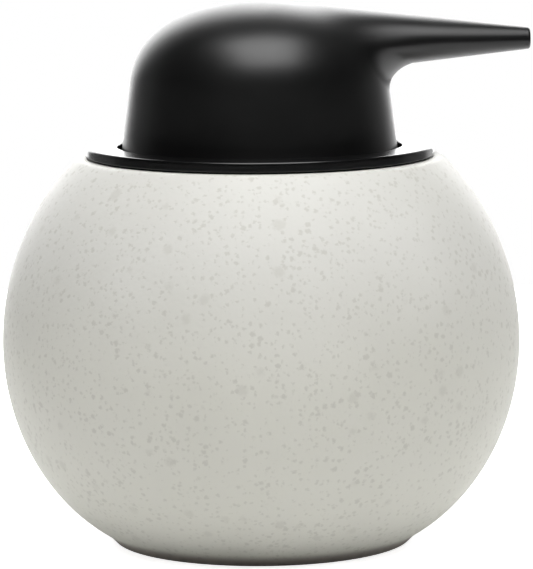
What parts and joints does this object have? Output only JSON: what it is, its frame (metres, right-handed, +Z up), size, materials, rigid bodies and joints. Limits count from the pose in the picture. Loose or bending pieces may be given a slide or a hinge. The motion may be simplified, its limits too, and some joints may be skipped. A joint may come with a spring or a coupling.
{
  "type": "soap pump dispenser",
  "caption": "Round glazed ceramic jar with a plug-in hand pump: a domed press head with a tapered side spout sinks into a well in the flat collar and springs back.",
  "frame": {"origin": "centre of the foot ring on the plane it stands on", "axes": "+Z up along the pump's axis, +X along the spout, +Y completes the right-handed frame"},
  "size_m": [0.1117, 0.1094, 0.1145],
  "materials": {
    "speckled_glaze": "matt speckled glaze, off-white with warm grey specks",
    "head_black": "satin black moulding",
    "collar_black": "satin black moulding",
    "tube_black": "black tube",
    "seal_rubber": "soft black",
    "natural_plastic": "natural moulding",
    "piston_white": "soft white moulding",
    "core_grey": "dark grey moulding",
    "tube_clear": "milky tube",
    "ball_steel": "polished ball",
    "spring_steel": "spring wire"
  },
  "bodies": {
    "jar": {"jar": "speckled_glaze"},
    "pump": {"collar_cup": "collar_black", "mouth_seal": "seal_rubber", "housing_gasket": "seal_rubber", "pump_housing": "natural_plastic", "screw_collar": "core_grey", "chaplet": "natural_plastic", "ball_cage": "natural_plastic", "dip_tube": "tube_clear", "return_spring": "spring_steel"},
    "piston": {"piston": "piston_white"},
    "head": {"head_shell": "head_black", "head_core": "core_grey", "spout_tube": "tube_black", "stem": "natural_plastic", "piston_retainer": "natural_plastic"},
    "inlet_ball": {"inlet_ball": "ball_steel"},
    "outlet_ball": {"outlet_ball": "ball_steel"}
  },
  "joints": [
    {"name": "pump_lift", "type": "slide", "parent": "jar", "child": "pump", "axis": [0, 0, 1], "range_m": [0, 0.09]},
    {"name": "head_press", "type": "slide", "parent": "pump", "child": "piston", "axis": [0, 0, 1], "range_m": [-0.011, 0], "stiffness_N_per_m": 900, "springref_m": 0.01, "deforming": ["return_spring"]},
    {"name": "head_swivel", "type": "hinge", "parent": "piston", "child": "head", "pos_m": [0, 0, 0.08428], "axis": [0, 0, 1], "continuous": true},
    {"name": "inlet_valve", "type": "slide", "parent": "pump", "child": "inlet_ball", "axis": [0, 0, 1], "range_m": [0, 0.0015]},
    {"name": "outlet_valve", "type": "slide", "parent": "head", "child": "outlet_ball", "axis": [0, 0, 1], "range_m": [0, 0.0012]}
  ]
}
